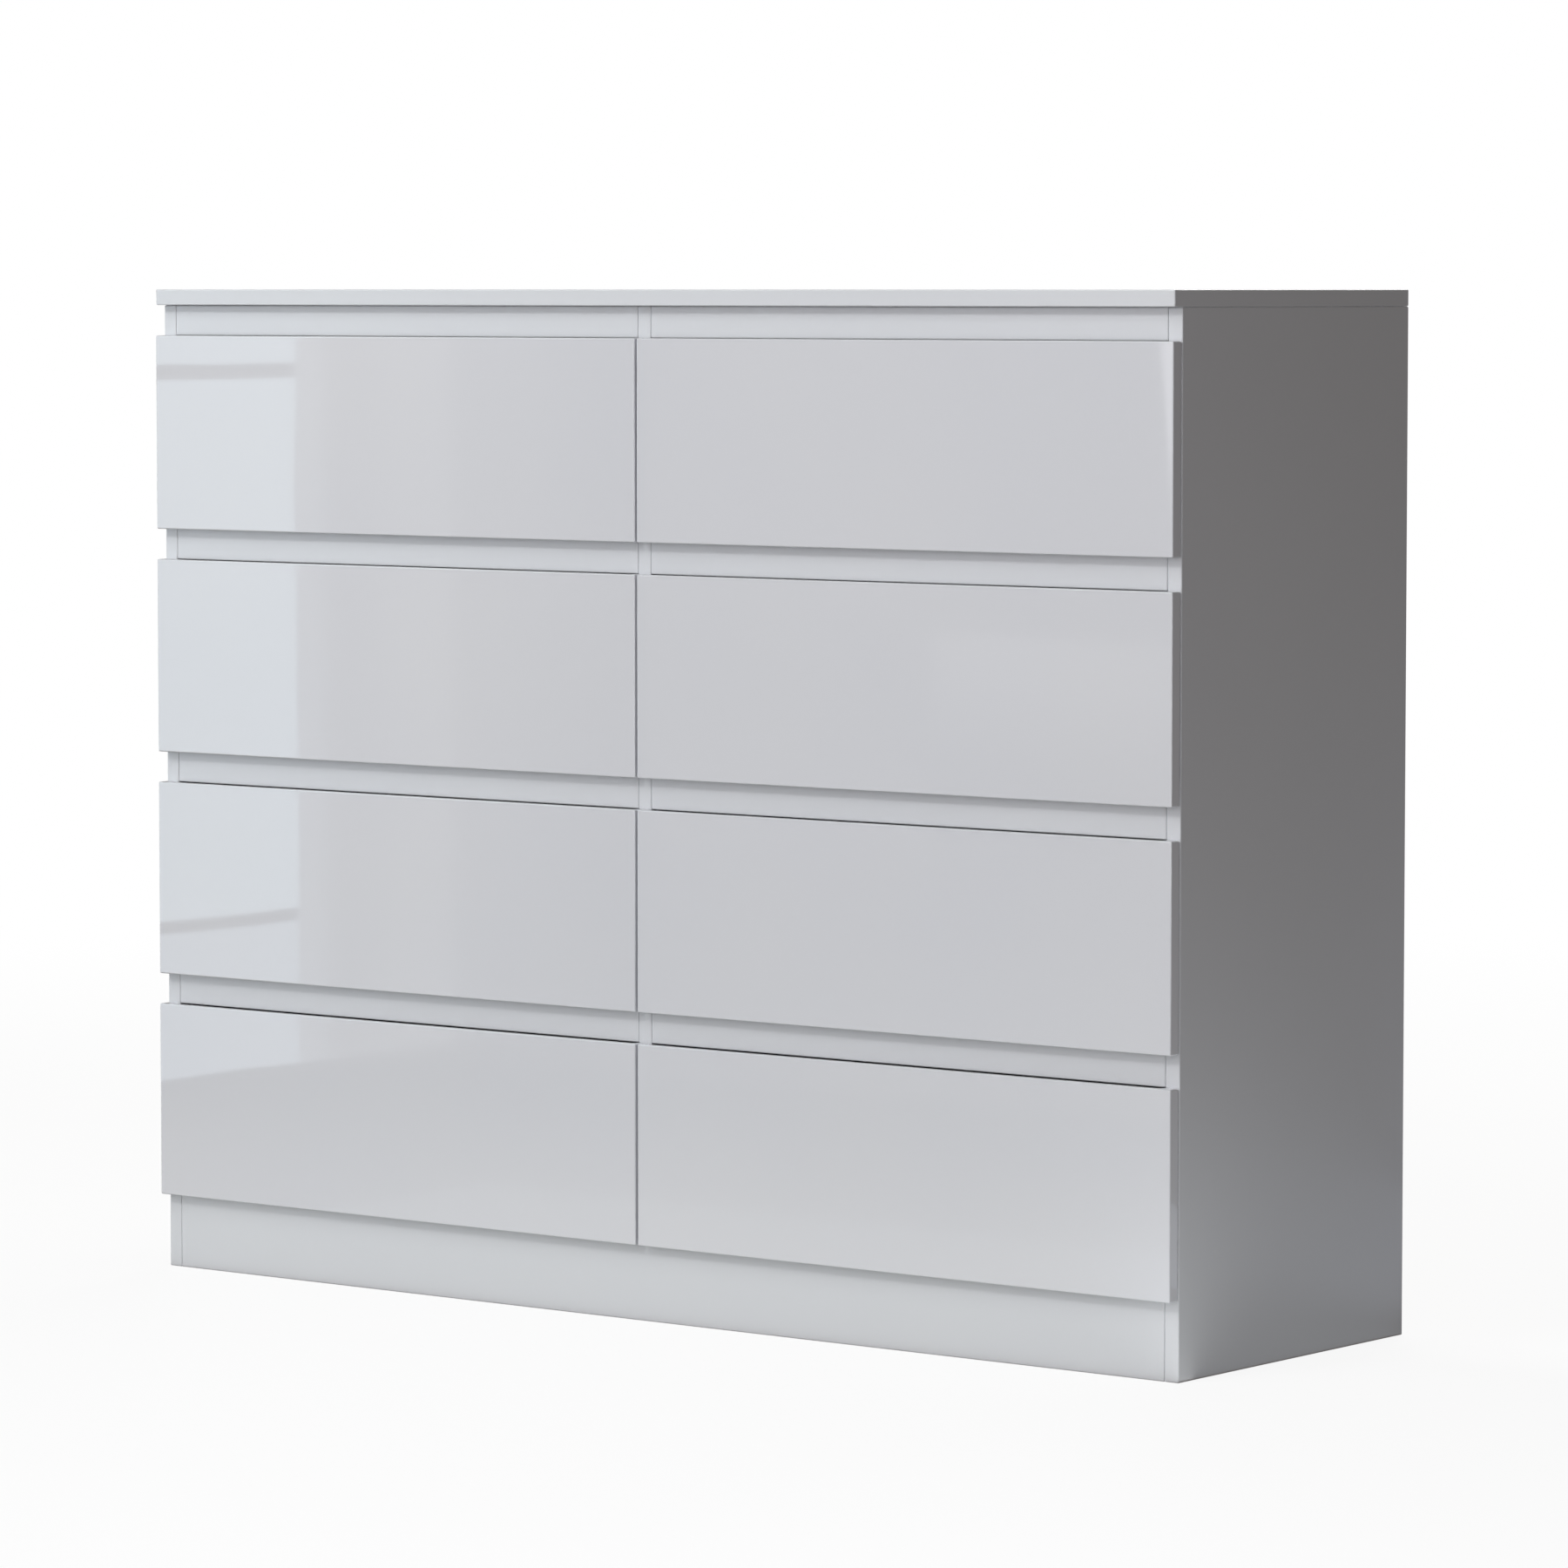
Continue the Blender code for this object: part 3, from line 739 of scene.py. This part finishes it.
def makeStage():
    studio = {"floorSize": 60.0, "domeRadius": 30.0, "fadeStart": 1.0, "fadeEnd": 4.0, "white": 1.0}
    deselectAll()
    bpy.ops.mesh.primitive_plane_add(size=studio["floorSize"], location=(0, 0, -0.0002))
    floor = bpy.context.object
    floor.name = "studioFloor"
    material, tree, shader, place = startMaterial("paleFloor", {
        "Base Color": linearColour("#F4F4F4"), "Roughness": 0.5, "Specular IOR Level": 0.2})
    far = addNode(tree, "ShaderNodeVectorMath", {"operation": "LENGTH"}, {0: place})
    fade = addNode(tree, "ShaderNodeMapRange", {"interpolation_type": "SMOOTHSTEP"}, {
        "Value": far.outputs["Value"], "From Min": studio["fadeStart"], "From Max": studio["fadeEnd"],
        "To Min": 0.9, "To Max": 1.0})
    glow = addNode(tree, "ShaderNodeEmission", {}, {"Color": (1, 1, 1, 1), "Strength": studio["white"]})
    mixed = addNode(tree, "ShaderNodeMixShader", {}, {0: fade.outputs["Result"], 1: shader.outputs["BSDF"],
                                                      2: glow.outputs["Emission"]})
    tree.links.new(mixed.outputs["Shader"], tree.nodes["Material Output"].inputs["Surface"])
    floor.data.materials.append(material)
    deselectAll()
    bpy.ops.mesh.primitive_uv_sphere_add(segments=64, ring_count=32, radius=studio["domeRadius"])
    dome = bpy.context.object
    dome.name = "studioBackdrop"
    material, tree, shader, place = startMaterial("whiteBackdrop", {})
    glow = addNode(tree, "ShaderNodeEmission", {}, {"Color": (1, 1, 1, 1), "Strength": studio["white"]})
    tree.links.new(glow.outputs["Emission"], tree.nodes["Material Output"].inputs["Surface"])
    dome.data.materials.append(material)
    for ray in ("visible_diffuse", "visible_glossy", "visible_transmission", "visible_volume_scatter",
                "visible_shadow"):
        setattr(dome, ray, False)
    floor.visible_diffuse = False
    floor.visible_glossy = False


softboxes = {  # place, aim, size in metres, watts, colour
    "keyBox": ((-0.8, -5.2, 4.0), (-0.1, 0, 0.5), (1.4, 0.9), 91, "#FEFFFF"),
    "frontBox": ((-0.6, -3.2, 1.0), (-0.2, 0, 0.45), (1.7, 1.8), 25.5, "#FBFCFF"),
    "highBox": ((-0.6, -2.2, 2.8), (-0.2, 0, 0.6), (2.0, 1.2), 24.5, "#FAFFFF"),
    "rightBox": ((1.25, -1.35, 0.9), (0.6, 0, 0.5), (0.5, 1.4), 2.6, "#F8F7FF"),
    "floorNear": ((0.9, 0.02, 0.001), (0.9, 0.02, 1), (0.598, 0.34), 0.14, "#ECF7FF"),
    "floorMiddle": ((0.9, -0.32, 0.001), (0.9, -0.32, 1), (0.598, 0.34), 0.45, "#FAFEFF"),
    "floorFront": ((0.0, -0.52, 0.001), (0.0, -0.52, 1), (1.5, 0.68), 1.05, "#F4FFFE"),
    "floorRear": ((1.0, 0.54, 0.001), (1.0, 0.54, 1), (0.76, 0.5), 1.0, "#E7F0FF"),
    "rearBox": ((-0.5, 2.6, 2.9), (-0.1, 0, 0.5), (2.2, 1.4), 56, "#FFFFFF"),
    "topBox": ((0.0, 0.75, 2.6), (0, 0, 0.95), (1.15, 1.1), 14, "#FFFFFF"),
}
# cards: lowest and highest corner, colour, glow, and the axis, start and end of a fade to no glow
cards = {
    "lowPane": ((-1.704, -1.615, 0.0), (-1.7, -0.3, 0.174), "#DCEAF4", 2.8, None),
    "middlePane": ((-1.704, -1.615, 0.19), (-1.7, -0.3, 0.848), "#DCEEF6", 3.38, None),
    "highPane": ((-1.704, -1.615, 0.867), (-1.7, -0.3, 2.4), "#DCEEF6", 3.38, None),
    "windowReveal": ((-1.704, -1.669, 0.0), (-1.7, -1.615, 2.4), "#E4E8EC", 1.5, None),
    "shadedWall": ((-1.704, -1.771, 0.0), (-1.7, -1.669, 2.4), "#EEEEF0", 0.84, None),
    "curtain": ((-1.704, -1.913, 0.0), (-1.7, -1.771, 2.4), "#EEEEEF", 0.96, None),
    "litWall": ((-1.704, -2.3, 0.0), (-1.7, -1.913, 2.4), "#EEEEF0", 0.44, ("Y", -1.95, -2.3)),
    "paleBench": ((-2.87, -4.504, 0.05), (-1.8, -4.5, 0.386), "#F2F0EC", 0.749, ("Z", 0.386, 0.08)),
    "rightScreen": ((3.2, -3.0, 0.0), (3.204, -0.6, 2.2), "#F4F8FA", 5.0, None),
    "litFloor": ((-1.7, -1.9, -0.02), (1.2, -0.2, -0.016), "#F4EEE6", 0.85, ("Y", -0.6, -1.85)),
}
flag = {"y": 0.200, "low": 0.125, "high": 0.9, "reach": 0.8, "gap": 0.006, "thick": 0.004}


def addSoftbox(name, place, aim, size, watts, colour):
    light = bpy.data.lights.new(name, "AREA")
    light.shape = "RECTANGLE"
    light.size, light.size_y = size
    light.energy = watts
    light.color = linearColour(colour)[:3]
    lamp = bpy.data.objects.new(name, light)
    bpy.context.scene.collection.objects.link(lamp)
    lamp.location = place
    lamp.rotation_euler = (Vector(aim) - Vector(place)).to_track_quat("-Z", "Y").to_euler()
    lamp.visible_camera = False
    return lamp


def addCard(name, low, high, colour, glow, fade):
    # a plain glowing card that only the gloss sees
    material, tree, shader, place = startMaterial(name + "Glow", {})
    light = addNode(tree, "ShaderNodeEmission", {}, {"Color": linearColour(colour), "Strength": glow})
    if fade:
        axis, start, end = fade
        parts = addNode(tree, "ShaderNodeSeparateXYZ", {}, {"Vector": place})
        drop = addNode(tree, "ShaderNodeMapRange", {"interpolation_type": "SMOOTHSTEP"}, {
            "Value": parts.outputs[axis], "From Min": start, "From Max": end, "To Min": glow, "To Max": 0.0})
        tree.links.new(drop.outputs["Result"], light.inputs["Strength"])
    tree.links.new(light.outputs["Emission"], tree.nodes["Material Output"].inputs["Surface"])
    card = addBox(name, low, high)
    card.data.materials.append(material)
    for ray in ("visible_camera", "visible_diffuse", "visible_transmission", "visible_shadow"):
        setattr(card, ray, False)


def makeLights():
    world = bpy.data.worlds.new("studioAir")
    world.use_nodes = True
    world.node_tree.nodes["Background"].inputs["Color"].default_value = linearColour("#FFF8F2")
    world.node_tree.nodes["Background"].inputs["Strength"].default_value = 0.16
    bpy.context.scene.world = world
    for name, values in softboxes.items():
        addSoftbox(name, *values)
    for name, values in cards.items():
        addCard(name, *values)
    # a blind behind the right side panel keeps the light from the floor behind low on that panel
    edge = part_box("side_panel_right")[1].x + flag["gap"]
    blind = addBox("lightFlag", (edge, flag["y"], flag["low"]),
                   (edge + flag["reach"], flag["y"] + flag["thick"], flag["high"]))
    blind.data.materials.append(startMaterial("flagCloth", {"Base Color": linearColour("#303030")})[0])
    for ray in ("visible_camera", "visible_diffuse", "visible_glossy", "visible_transmission"):
        setattr(blind, ray, False)


def makeCamera():
    lens = {"focal": 159.1, "sensor": 36.0, "place": (4.019, -5.1304, 0.9563), "yaw": 37.881, "pitch": 4.093}
    view = bpy.data.cameras.new("viewCamera")
    view.lens = lens["focal"]
    view.sensor_width = lens["sensor"]
    view.clip_end = 200
    camera = bpy.data.objects.new("viewCamera", view)
    bpy.context.scene.collection.objects.link(camera)
    camera.location = lens["place"]
    camera.rotation_euler = (math.radians(90 - lens["pitch"]), 0, math.radians(lens["yaw"]))
    bpy.context.scene.camera = camera


bpy.context.scene.view_settings.view_transform = "Standard"
makeCamera()
makeStage()
makeLights()
print("studio ready")
